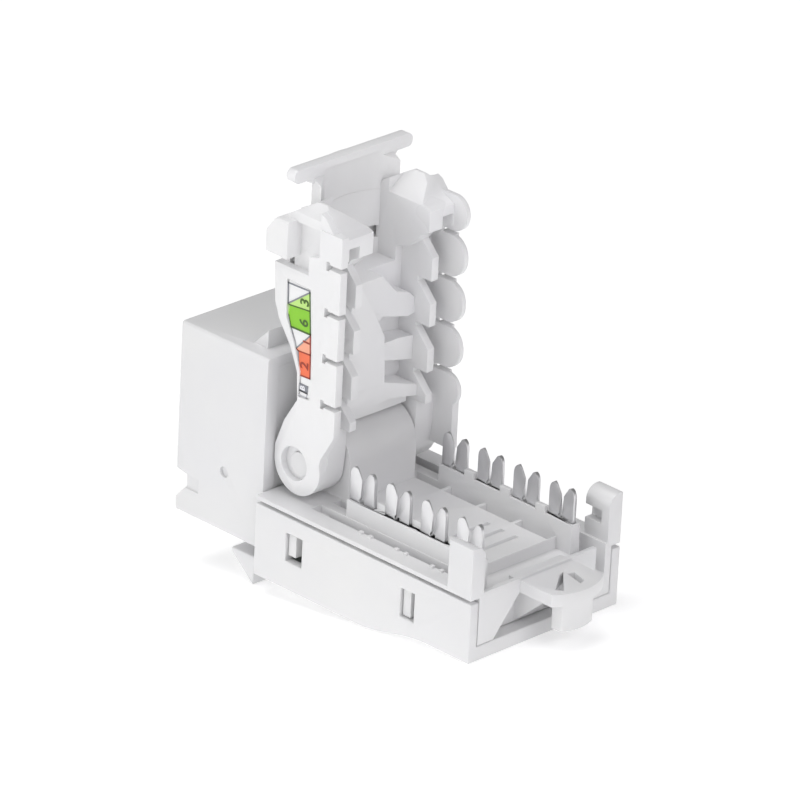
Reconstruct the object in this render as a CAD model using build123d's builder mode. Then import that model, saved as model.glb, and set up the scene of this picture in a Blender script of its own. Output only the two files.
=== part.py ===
"""Keystone jack with eight slotted wire contacts and a hinged wire cap, shown with the cap open.

Millimetres. X runs across the jack, Y from the plug face to the cable end, Z up.
The origin is mid-width on the plane of the plug face, level with the underside of the rear shell.
"""

from build123d import *
from math import sqrt
import os

os.makedirs("parts", exist_ok=True)

# General clearances
fit_gap = 0.05
joint_gap = 0.1
swing_gap = 0.15

# Front housing
housing_width = 14.5
housing_depth = 9.5
housing_bottom = 0.55
housing_top = 16.55
housing_edge = 0.25
lip_top = 1.75
notch_low = 2.85
notch_high = 3.95
notch_edge = 4.15
notch_depth = 1.0
side_pad_depth = 0.15
side_pad_length = 2.4
dimple_y = 5.2
dimple_z = 5.6
dimple_radius = 0.45
dimple_depth = 0.25
lug_width = 11.6
lug_front = 6.45
lug_back = 7.95
lug_height = 1.5

# Plug socket
socket_width = 11.7
socket_bottom = 4.9
socket_height = 7.0
socket_depth = 8.6
step_width = 6.3
step_height = 1.3
key_width = 3.8
key_height = 1.1
key_catch_width = 6.1
key_catch_start = 1.5

# Plug contacts
contact_count = 8
plug_pitch = 1.02
wire_radius = 0.17
wire_bend = 0.4
wire_front = 2.4
wire_high = 12.62
wire_tip_y = 7.3
wire_tip_z = 9.4
tail_length = 1.8

# Contact carrier
carrier_width = 12.1
carrier_bottom = 1.65
carrier_top = 15.65
carrier_plate = 0.8
comb_width = 11.5
comb_front = 1.4
comb_top = 14.15
groove_width = 0.5
tail_slot_height = 0.7

# Lower shell
shell_width = 16.1
shell_end = 32.75
shell_wall = 0.85
shell_top = 4.9
shell_floor = 1.2
latch_drop = 1.13
latch_plate_top = -0.1
latch_root = 21.0
belly_end = 28.2
latch_width = 14.0
latch_slit = 0.2
tooth_front = 6.08
tooth_back = 8.54
tooth_low = 2.85
tooth_top = -0.45
tooth_nose = 0.4
tooth_slope_end = (7.38, -1.92)
tooth_back_step = 0.2
window_low = 1.2
window_high = 3.6
window_front_y = 12.95
window_front_length = 1.79
window_rear_y = 25.35
window_rear_length = 1.5
snap_length = 0.8
snap_drop = 0.2
snap_inset = 0.3

# Side arms of the housing
arm_thick = 0.6
arm_bottom = 1.6
arm_top = 4.6
arm_end = 15.3

# Circuit board
board_width = 11.4
board_thick = 1.0
board_end = 31.0

# Contact block
flange_bottom = 5.2
ledge_level = 5.55
block_end = 32.7
core_half = 7.1
ridge_start = 16.7
ridge_end = 30.9
ridge_inner = 4.5
ridge_outer = 5.4
ridge_top = 7.0
ridge_block_length = 1.0
ridge_block_height = 0.55
groove_end = 32.4
groove_inner = 5.45
groove_outer = 6.45
groove_floor = 3.1
near_groove_start = 15.0
far_groove_start = 11.3
near_relief = 0.95
near_relief_depth = 0.6
mark_size = 0.35
mark_spacing = 1.0
seat_start = 29.35
seat_end = 32.3
seat_floor = 4.55
seat_half = 5.6
grip_count = 3
grip_start = 24.2
grip_step = 1.5
grip_width = 0.45
grip_depth = 0.25
post_inner = 6.65
post_front = 30.2
post_top = 9.45
post_round = 1.0
post_slot_low = 6.9
post_slot_high = 8.0
post_slot_depth = 0.75
post_slot_end = 31.9

# Hinge
hinge_y = 12.1
hinge_z = 8.43
saddle_half = 3.55
saddle_radius = 3.0
pin_radius = 0.95
pin_end = 6.05

# Tie rest
rest_half = 2.8
rest_level = 5.35
rest_thick = 1.0
rest_side_end = 36.0
rest_middle_end = 36.9
rest_wall_half = 1.7
rest_wall_low = 1.95
rest_wall_thick = 1.0
rest_wall_inset = 0.4
gusset_inner = 1.3
gusset_thick = 0.7
gusset_reach = 34.9
gusset_low = 1.35
recess_top_half = 2.8
recess_low_half = 5.4
recess_depth = 1.2

# Forks
fork_pitch = 3.8
fork_first = 18.0
forks_per_row = 4
fork_x = 4.95
fork_thick = 0.36
fork_top = 9.75
fork_half = 1.3
fork_foot = 6.2
fork_slot = 0.3
fork_hole = 0.27
fork_hole_z = 7.15
fork_mouth = 8.75
fork_tip = 0.83
fork_round = 0.3
stem_half = 0.5

# Wire cap
cap_outer = 6.3
cap_wall = 0.7
cap_front = 15.85
cap_back_wall = 0.9
wall_neck = (14.3, 8.43)
wall_neck_end = (14.55, 9.75)
wall_foot = 11.95
ear_radius = 2.45
ear_inner = 3.75
ear_arm_front = 14.7
ear_arm_radius = 4.25
ear_arm_ahead = 1.0
ear_arm_behind = 0.9
ear_arm_low = 9.9
ear_back_top = 9.4
ear_counterbore = 1.4
ear_counterbore_depth = 0.6
ear_counterbore_shift = 0.35
wire_slot = 0.4
wire_slot_end = 14.45
wire_slot_head = 0.35
wire_slot_head_height = 0.75
lobe_inner = 5.6
lobe_outer = 6.0
lobe_front = 17.25
lobe_round = 1.6
lobe_bottom = 11.4
lobe_top = 28.85
lobe_root = 14.3
fin_inner = 3.7
fin_outer = 4.4
fin_front = 15.65
fin_slope = 1.5
fin_root = 14.2
fin_bottom = 11.9
core_front = 12.4
core_half_width = 4.1
web_front = 14.7
web_low_front = 14.0
web_overlap = 0.1
foot_back = 14.2
foot_front = 16.75
foot_bottom = 7.9
foot_top = 12.1
head_top = 28.4
head_bottom = 25.3
entry_half = 3.0
entry_bottom = 23.0
wing_outer = 7.1
wing_back = 8.55
wing_front = 10.85
wing_shoulder = 27.1
wing_corner = 9.5
wing_top = 28.3
window_front = 13.5
window_floor = 26.1
window_back = 12.45
window_step = 25.8
shoulder_top = 29.9
shoulder_half = 5.2
funnel_low = 28.3
funnel_half = 5.0
trough_half = 4.2
trough_middle = 9.7
trough_edge = 11.3
trough_wall = 1.0
trough_top = 31.6
bar_half = 6.25
bar_bottom = 31.0
bar_top = 32.1
bar_back = 9.6
bar_front = 10.5
bar_round = 0.5

# Labels
label_recess = 0.25
label_thick = 0.12
label_margin = 0.12

# Places worked out from the sizes above
fork_ys = [fork_first + i * fork_pitch for i in range(forks_per_row)]
rear_start = housing_depth + joint_gap
carrier_front = socket_depth + fit_gap / 2
groove_back = carrier_front + 0.45
wire_back = (carrier_front + groove_back) / 2
board_bottom = shell_floor + 2 * fit_gap
board_top = board_bottom + board_thick
tail_z = board_top + wire_radius
core_bottom = shell_floor + fit_gap
wire_zs = [hinge_z + y - hinge_y for y in fork_ys]
fork_clear = fork_thick / 2 + swing_gap


def brick(x, y, z, mode=Mode.ADD):
    """A box between two values on each axis."""
    size = [abs(pair[1] - pair[0]) for pair in (x, y, z)]
    middle = [(pair[0] + pair[1]) / 2 for pair in (x, y, z)]
    with Locations(tuple(middle)):
        Box(*size, mode=mode)


def brick_pair(inner, outer, y, z, mode=Mode.ADD):
    """The same box on both sides of the middle plane."""
    for side in (-1, 1):
        brick((side * inner, side * outer), y, z, mode)


def side_face(points):
    """A closed outline of (y, z) points as a face on the middle plane."""
    with BuildSketch(Plane.YZ, mode=Mode.PRIVATE) as outline:
        with BuildLine():
            Polyline(*points, close=True)
        make_face()
    return outline.sketch


def slab(face, start, end, mode=Mode.ADD):
    """A face of the middle plane, spread along X from start to end."""
    extrude(face.moved(Location((start, 0, 0))), amount=end - start, dir=(1, 0, 0), mode=mode)


def slab_pair(face, inner, outer, mode=Mode.ADD):
    """The same slab on both sides of the middle plane."""
    for side in (-1, 1):
        slab(face, side * inner, side * outer, mode)


# Front housing: the box behind the panel, open to the front for the plug
with BuildPart() as front_housing:
    housing_outline = [
        (0, housing_bottom),
        (0, lip_top),
        (notch_depth, notch_low),
        (notch_depth, notch_high),
        (0, notch_edge),
        (0, housing_top),
        (housing_depth, housing_top),
        (housing_depth, housing_bottom),
    ]
    slab(side_face(housing_outline), -housing_width / 2, housing_width / 2)
    fillet(
        front_housing.edges().filter_by(Axis.Y).group_by(Axis.Z)[-1]
        + front_housing.edges().filter_by(Axis.Y).group_by(Axis.Z)[0],
        radius=housing_edge,
    )
    lug_outline = [
        (lug_front, housing_top),
        (lug_back, housing_top + lug_height),
        (lug_back, housing_top),
    ]
    slab(side_face(lug_outline), -lug_width / 2, lug_width / 2)
    brick_pair(
        housing_width / 2 - side_pad_depth,
        housing_width / 2 + joint_gap,
        (-joint_gap, side_pad_length),
        (notch_low - joint_gap, notch_high),
        Mode.SUBTRACT,
    )
    for side in (-1, 1):
        with Locations(Plane((side * housing_width / 2, dimple_y, dimple_z), z_dir=(side, 0, 0))):
            Hole(dimple_radius, dimple_depth)
    # Socket with its stepped latch channel, wider behind the catch
    socket_top = socket_bottom + socket_height
    step_floor = socket_bottom - step_height
    key_floor = step_floor - key_height
    socket_run = (-joint_gap, socket_depth)
    brick(
        (-socket_width / 2, socket_width / 2),
        socket_run,
        (socket_bottom, socket_top),
        Mode.SUBTRACT,
    )
    brick((-step_width / 2, step_width / 2), socket_run, (step_floor, socket_top), Mode.SUBTRACT)
    brick((-key_width / 2, key_width / 2), socket_run, (key_floor, socket_top), Mode.SUBTRACT)
    brick(
        (-key_catch_width / 2, key_catch_width / 2),
        (key_catch_start, socket_depth),
        (key_floor, socket_top),
        Mode.SUBTRACT,
    )
    # Room for the contact carrier, open to the rear
    carrier_half = carrier_width / 2 + fit_gap
    brick(
        (-carrier_half, carrier_half),
        (socket_depth, housing_depth + joint_gap),
        (carrier_bottom - fit_gap, carrier_top + fit_gap),
        Mode.SUBTRACT,
    )
    comb_half = comb_width / 2 + fit_gap
    brick(
        (-comb_half, comb_half),
        (comb_front - fit_gap, socket_depth),
        (socket_top, comb_top + fit_gap),
        Mode.SUBTRACT,
    )
    # Arms that reach into the shell and snap into its front windows
    arm_outer = shell_width / 2 - shell_wall - joint_gap
    arm_inner = min(arm_outer, housing_width / 2) - arm_thick
    brick_pair(arm_inner, arm_outer, (housing_depth, arm_end), (arm_bottom, arm_top))
    brick_pair(
        arm_outer,
        shell_width / 2 - snap_inset,
        (window_front_y + joint_gap, window_front_y + joint_gap + snap_length),
        (arm_bottom + fit_gap, window_high - snap_drop),
    )
    brick_pair(
        arm_inner,
        arm_outer,
        (window_front_y + joint_gap + snap_length, window_front_y + window_front_length),
        (arm_bottom, window_high),
        Mode.SUBTRACT,
    )
front_housing.part.label = "front_housing"
export_step(front_housing.part, "parts/front_housing.step")


# Contact carrier: a back plate and a comb that hold the plug contacts in grooves
contact_xs = [(i - (contact_count - 1) / 2) * plug_pitch for i in range(contact_count)]
with BuildPart() as contact_carrier:
    brick(
        (-carrier_width / 2, carrier_width / 2),
        (carrier_front, carrier_front + carrier_plate),
        (carrier_bottom, carrier_top),
    )
    comb_low = socket_bottom + socket_height + fit_gap
    brick(
        (-comb_width / 2, comb_width / 2),
        (comb_front, carrier_front),
        (comb_low, comb_top),
    )
    groove_top = wire_high + groove_width / 2
    for x in contact_xs:
        channel = (x - groove_width / 2, x + groove_width / 2)
        brick(
            channel,
            (comb_front - joint_gap, groove_back),
            (comb_low - joint_gap, groove_top),
            Mode.SUBTRACT,
        )
        brick(
            channel,
            (carrier_front - joint_gap, groove_back),
            (tail_z - tail_slot_height / 2, groove_top),
            Mode.SUBTRACT,
        )
        brick(
            channel,
            (carrier_front - joint_gap, carrier_front + carrier_plate + joint_gap),
            (tail_z - tail_slot_height / 2, tail_z + tail_slot_height / 2),
            Mode.SUBTRACT,
        )
contact_carrier.part.label = "contact_carrier"
export_step(contact_carrier.part, "parts/contact_carrier.step")


# Plug contacts: sprung wires from the board up the carrier and down into the socket
for i, x in enumerate(contact_xs):
    with BuildPart() as plug_contact:
        with BuildLine(Plane.YZ.offset(x)) as wire_path:
            FilletPolyline(
                (rear_start + tail_length, tail_z),
                (wire_back, tail_z),
                (wire_back, wire_high),
                (wire_front, wire_high),
                (wire_tip_y, wire_tip_z),
                radius=wire_bend,
            )
        with BuildSketch(Plane(origin=wire_path.line @ 0, z_dir=wire_path.line % 0)):
            Circle(wire_radius)
        sweep()
    plug_contact.part.label = f"plug_contact_{i + 1}"
    export_step(plug_contact.part, f"parts/plug_contact_{i + 1}.step")


# Circuit board with a hole for each fork stem
stem_hole = stem_half + fit_gap
with BuildPart() as circuit_board:
    brick(
        (-board_width / 2, board_width / 2),
        (rear_start + fit_gap, board_end),
        (board_bottom, board_top),
    )
    for y in fork_ys:
        brick_pair(
            fork_x - fork_thick / 2 - fit_gap,
            fork_x + fork_thick / 2 + fit_gap,
            (y - stem_hole, y + stem_hole),
            (board_bottom - joint_gap, board_top + joint_gap),
            Mode.SUBTRACT,
        )
circuit_board.part.label = "circuit_board"
export_step(circuit_board.part, "parts/circuit_board.step")


# Forks: slotted blades that cut through the wire's insulation
number = 0
for side in (1, -1):
    for y in fork_ys:
        number = number + 1
        with BuildPart() as fork:
            with BuildSketch(Plane.YZ.offset(side * fork_x - fork_thick / 2)) as blade:
                with BuildLine():
                    Polyline(
                        (y - stem_half, board_bottom),
                        (y + stem_half, board_bottom),
                        (y + stem_half, fork_foot),
                        (y + fork_half, fork_foot),
                        (y + fork_half, fork_top),
                        (y + fork_tip - fork_round, fork_top),
                        (y + fork_slot / 2, fork_mouth),
                        (y + fork_slot / 2, fork_hole_z),
                        (y - fork_slot / 2, fork_hole_z),
                        (y - fork_slot / 2, fork_mouth),
                        (y - fork_tip + fork_round, fork_top),
                        (y - fork_half, fork_top),
                        (y - fork_half, fork_foot),
                        (y - stem_half, fork_foot),
                        close=True,
                    )
                make_face()
                tips = blade.vertices().group_by(Axis.Y)[-1]
                fillet(tips, radius=fork_round)
                with Locations((y, fork_hole_z)):
                    Circle(fork_hole, mode=Mode.SUBTRACT)
            extrude(amount=fork_thick, dir=(1, 0, 0))
        fork.part.label = f"idc_contact_{number}"
        export_step(fork.part, f"parts/idc_contact_{number}.step")


# Contact block: the upper rear half that carries the forks, the hinge and the cable end
with BuildPart() as contact_block:
    brick(
        (-shell_width / 2, shell_width / 2),
        (rear_start, block_end),
        (flange_bottom, ledge_level),
    )
    brick((-core_half, core_half), (rear_start, block_end), (core_bottom, flange_bottom))
    # Saddle between the ears, with a stub pin on each side
    with Locations(Plane((-saddle_half, hinge_y, hinge_z), z_dir=(1, 0, 0))):
        Cylinder(saddle_radius, 2 * saddle_half, align=(Align.CENTER, Align.CENTER, Align.MIN))
    brick(
        (-saddle_half, saddle_half),
        (rear_start, hinge_y + saddle_radius),
        (flange_bottom, hinge_z),
    )
    with Locations(Plane((-pin_end, hinge_y, hinge_z), z_dir=(1, 0, 0))):
        Cylinder(pin_radius, 2 * pin_end, align=(Align.CENTER, Align.CENTER, Align.MIN))
    brick(
        (-saddle_half, saddle_half),
        (hinge_y - 2 * saddle_radius, rear_start),
        (flange_bottom, hinge_z + 2 * saddle_radius),
        Mode.SUBTRACT,
    )
    # Ridges with a low block between each two forks
    brick_pair(ridge_inner, ridge_outer, (ridge_start, ridge_end), (ledge_level, ridge_top))
    for y in fork_ys[:-1]:
        middle = y + fork_pitch / 2
        brick_pair(
            ridge_inner,
            ridge_outer - ridge_block_height,
            (middle - ridge_block_length / 2, middle + ridge_block_length / 2),
            (ridge_top, ridge_top + ridge_block_height),
        )
    # Rear posts with a rounded head over a slot
    for side in (-1, 1):
        brick(
            (side * post_inner, side * shell_width / 2),
            (post_front, block_end),
            (ledge_level, post_top),
        )
    post_edges = contact_block.edges().filter_by(Axis.Y).filter_by(
        lambda edge: edge.center().Z > post_top - fit_gap
    )
    inner_edges = [edge for edge in post_edges if abs(edge.center().X) < post_inner + fit_gap]
    fillet(inner_edges, radius=min(post_round, shell_width / 2 - post_inner - joint_gap))
    brick_pair(
        post_inner,
        post_inner + post_slot_depth,
        (post_front, post_slot_end),
        (post_slot_low, post_slot_high),
        Mode.SUBTRACT,
    )
    # Grooves that take the cap's combs when it closes
    brick(
        (groove_inner, groove_outer),
        (near_groove_start, groove_end),
        (groove_floor, post_top),
        Mode.SUBTRACT,
    )
    brick(
        (groove_inner, groove_outer),
        (near_groove_start - near_relief, groove_end),
        (ledge_level - near_relief_depth, post_top),
        Mode.SUBTRACT,
    )
    brick(
        (-groove_outer, -groove_inner),
        (far_groove_start, block_end + joint_gap),
        (groove_floor, post_top),
        Mode.SUBTRACT,
    )
    fin_pocket_floor = hinge_z - (fin_front - hinge_y) - swing_gap
    for y in fork_ys:
        brick_pair(
            fin_inner - joint_gap,
            ridge_inner,
            (y - fork_pitch + wire_slot / 2 - fit_gap, y - wire_slot / 2 + fit_gap),
            (fin_pocket_floor, ledge_level),
            Mode.SUBTRACT,
        )
    # Seat for the cable ring, and shallow grips across the floor ahead of it
    seat_height = (seat_floor, ridge_top)
    brick((-ridge_inner, ridge_inner), (seat_start, seat_end), seat_height, Mode.SUBTRACT)
    brick((-seat_half, seat_half), (ridge_end, seat_end), seat_height, Mode.SUBTRACT)
    for i in range(grip_count):
        grip_y = grip_start + i * grip_step
        brick(
            (-ridge_inner / 2, ridge_inner / 2),
            (grip_y, grip_y + grip_width),
            (ledge_level - grip_depth, ledge_level),
            Mode.SUBTRACT,
        )
    # Small marks outside the grooves, in pairs between the forks
    for y in fork_ys[:-1]:
        for shift in (-mark_spacing / 2, mark_spacing / 2):
            mark_y = y + fork_pitch / 2 + shift
            brick_pair(
                groove_outer,
                groove_outer + mark_size,
                (mark_y, mark_y + mark_size),
                (ledge_level, ledge_level + mark_size / 2),
            )
    # Pockets for the board, the wire tails and the housing's arms
    brick(
        (-board_width / 2 - fit_gap, board_width / 2 + fit_gap),
        (rear_start - joint_gap, board_end + joint_gap),
        (core_bottom - joint_gap, board_top + fit_gap),
        Mode.SUBTRACT,
    )
    tail_half = contact_xs[-1] + groove_width
    brick(
        (-tail_half, tail_half),
        (rear_start - joint_gap, rear_start + tail_length + 2 * joint_gap),
        (board_top, tail_z + tail_slot_height),
        Mode.SUBTRACT,
    )
    brick_pair(
        arm_inner - fit_gap,
        core_half + joint_gap,
        (rear_start - joint_gap, arm_end + 2 * joint_gap),
        (core_bottom - joint_gap, arm_top + joint_gap),
        Mode.SUBTRACT,
    )
    # Slots for the fork bodies and their stems
    blade_gap = fork_thick / 2 + fit_gap
    for y in fork_ys:
        body_gap = fork_half + fit_gap
        brick_pair(
            fork_x - blade_gap,
            fork_x + blade_gap,
            (y - body_gap, y + body_gap),
            (fork_foot - fit_gap, post_top),
            Mode.SUBTRACT,
        )
        brick_pair(
            fork_x - blade_gap,
            fork_x + blade_gap,
            (y - stem_hole, y + stem_hole),
            (board_top, fork_foot),
            Mode.SUBTRACT,
        )
    # Snaps in the rear windows, with a hollow behind the open half of each window
    snap_y = window_rear_y + joint_gap
    brick_pair(
        core_half - joint_gap,
        shell_width / 2 - snap_inset,
        (snap_y, snap_y + snap_length),
        (window_low + joint_gap, window_high - joint_gap),
    )
    brick_pair(
        arm_inner + fit_gap,
        core_half + joint_gap,
        (snap_y + snap_length, window_rear_y + window_rear_length + joint_gap),
        (window_low, window_high),
        Mode.SUBTRACT,
    )
    # Recess in the rear face, with the tie rest and its gussets
    with BuildSketch(Plane.XZ.offset(-block_end)) as recess_outline:
        with BuildLine():
            Polyline(
                (-recess_top_half, rest_level - rest_thick),
                (recess_top_half, rest_level - rest_thick),
                (recess_low_half, core_bottom),
                (-recess_low_half, core_bottom),
                close=True,
            )
        make_face()
    extrude(amount=recess_depth, dir=(0, -1, 0), mode=Mode.SUBTRACT)
    with BuildSketch(Plane.XY.offset(rest_level)):
        with BuildLine():
            Polyline(
                (-rest_half, rest_side_end),
                (-rest_half, block_end - recess_depth),
                (rest_half, block_end - recess_depth),
                (rest_half, rest_side_end),
            )
            ThreePointArc(
                (rest_half, rest_side_end),
                (0, rest_middle_end),
                (-rest_half, rest_side_end),
            )
        make_face()
    extrude(amount=-rest_thick)
    rest_under = rest_level - rest_thick
    with BuildSketch(Plane.XY.offset(rest_under)):
        with BuildLine():
            wall_out = rest_middle_end - rest_wall_inset
            wall_side = wall_out - rest_wall_inset
            Polyline(
                (-rest_wall_half, wall_side),
                (-rest_wall_half, wall_side - rest_wall_thick),
                (rest_wall_half, wall_side - rest_wall_thick),
                (rest_wall_half, wall_side),
            )
            ThreePointArc((rest_wall_half, wall_side), (0, wall_out), (-rest_wall_half, wall_side))
        make_face()
    extrude(amount=rest_wall_low - rest_under)
    gusset_outline = [
        (block_end - recess_depth, rest_under),
        (gusset_reach, rest_under),
        (block_end - recess_depth, gusset_low),
    ]
    slab_pair(side_face(gusset_outline), gusset_inner, gusset_inner + gusset_thick)
    # Slots through the rest for a cable tie
    tie_slots = [
        [(-0.8, 33.7), (-0.2, 33.9), (1.9, 35.5), (1.5, 36.0)],
        [(-1.4, 34.3), (-0.8, 34.1), (-0.4, 35.9), (-1.0, 35.7)],
    ]
    for slot in tie_slots:
        with BuildSketch(Plane.XY.offset(rest_level)):
            with BuildLine():
                Polyline(*slot, close=True)
            make_face()
        extrude(amount=-rest_thick, mode=Mode.SUBTRACT)
contact_block.part.label = "contact_block"
export_step(contact_block.part, "parts/contact_block.step")


# Lower shell: a channel under the block, with the sprung panel latch cut into its floor
shell_inner = shell_width / 2 - shell_wall
with BuildPart() as lower_shell:
    with BuildSketch(Plane.YZ, mode=Mode.PRIVATE) as shell_side:
        with BuildLine():
            Polyline((latch_root, -latch_drop), (rear_start, -latch_drop), (rear_start, shell_top))
            Polyline((rear_start, shell_top), (shell_end, shell_top), (shell_end, 0))
            Line((shell_end, 0), (belly_end, 0))
            Spline(
                (belly_end, 0),
                (latch_root, -latch_drop),
                tangents=[(-1, 0), (-1, 0)],
                tangent_scalars=[1, 1],
            )
        make_face()
    slab(shell_side.sketch, -shell_width / 2, shell_width / 2)
    brick(
        (-shell_inner, shell_inner),
        (latch_root, shell_end + joint_gap),
        (shell_floor, shell_top + joint_gap),
        Mode.SUBTRACT,
    )
    brick(
        (-shell_inner, shell_inner),
        (rear_start - joint_gap, latch_root),
        (latch_plate_top, shell_top + joint_gap),
        Mode.SUBTRACT,
    )
    # Panel latch: a plate freed at its sides, with a hook at its front end
    brick_pair(
        latch_width / 2,
        latch_width / 2 + latch_slit,
        (rear_start - joint_gap, latch_root - shell_wall),
        (-latch_drop - joint_gap, latch_plate_top),
        Mode.SUBTRACT,
    )
    hook_outline = [
        (rear_start, latch_plate_top),
        (rear_start - joint_gap, tooth_top),
        (tooth_front, tooth_top),
        (tooth_front, tooth_top - tooth_nose),
        tooth_slope_end,
        (tooth_back, -tooth_low),
        (tooth_back, -latch_drop - tooth_back_step),
        (rear_start, -latch_drop),
    ]
    slab(side_face(hook_outline), -latch_width / 2, latch_width / 2)
    # Windows in the side walls
    for y, length in (
        (window_front_y, window_front_length),
        (window_rear_y, window_rear_length),
    ):
        brick_pair(
            shell_inner - joint_gap,
            shell_width / 2 + joint_gap,
            (y, y + length),
            (window_low, window_high),
            Mode.SUBTRACT,
        )
lower_shell.part.label = "lower_shell"
export_step(lower_shell.part, "parts/lower_shell.step")


# Wire cap, standing open: two walls with combs, a back, guide webs, a cable ring and a pull bar
cap_back_points = [
    (10.5, 11.65),
    (11.8, 13.78),
    (11.67, 16.07),
    (10.8, 18.0),
    (9.5, 19.8),
    (9.0, 21.1),
    (8.8, 24.3),
]
label_points = [
    (10.29, 23.2),
    (12.67, 23.12),
    (13.28, 16.39),
    (12.97, 14.28),
    (11.95, 14.19),
    (12.05, 16.2),
    (11.3, 18.4),
    (10.4, 20.2),
]


def comb_face(starts, ends, back, root, front, corner):
    """A comb seen from the side: teeth with rounded fronts on a common root."""
    with BuildSketch(Plane.YZ, mode=Mode.PRIVATE) as teeth:
        with Locations(((back + root) / 2, (starts[0] + ends[-1]) / 2)):
            Rectangle(root - back, ends[-1] - starts[0])
        for low, high in zip(starts, ends):
            with BuildSketch(mode=Mode.PRIVATE) as tooth:
                with Locations(((back + front) / 2, (low + high) / 2)):
                    Rectangle(front - back, high - low)
                tips = tooth.vertices().group_by(Axis.X)[-1]
                fillet(tips, radius=min(corner, (high - low) / 2 - fit_gap))
            add(tooth.sketch)
    return teeth.sketch


def saw_face(starts, ends, back):
    """The inner comb seen from the side: each tooth slopes back to the root at its top."""
    with BuildSketch(Plane.YZ, mode=Mode.PRIVATE) as teeth:
        with Locations(((back + fin_root) / 2, (starts[0] + ends[-1]) / 2)):
            Rectangle(fin_root - back, ends[-1] - starts[0])
        for low, high in zip(starts, ends):
            with BuildLine():
                Polyline(
                    (back, low),
                    (fin_front, low),
                    (fin_front, high - fin_slope),
                    (fin_root, high),
                    (back, high),
                    close=True,
                )
            make_face()
    return teeth.sketch


def wall_face(outline, foot):
    """A wall of the cap with its ear, its wire slots and its foot, if it has one."""
    with BuildSketch(Plane.YZ, mode=Mode.PRIVATE) as wall:
        with BuildLine():
            Polyline(*outline, close=True)
        make_face()
        with Locations((hinge_y, hinge_z)):
            Circle(ear_radius)
        if foot:
            with Locations(((foot_back + foot_front) / 2, (foot_bottom + foot_top) / 2)):
                Rectangle(foot_front - foot_back, foot_top - foot_bottom)
        for z in wire_zs:
            with Locations((wire_slot_end + cap_front / 2, z)):
                Rectangle(cap_front, wire_slot, mode=Mode.SUBTRACT)
            with Locations((wire_slot_end, z)):
                Rectangle(wire_slot_head, wire_slot_head_height, mode=Mode.SUBTRACT)
    return wall.sketch


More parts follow.
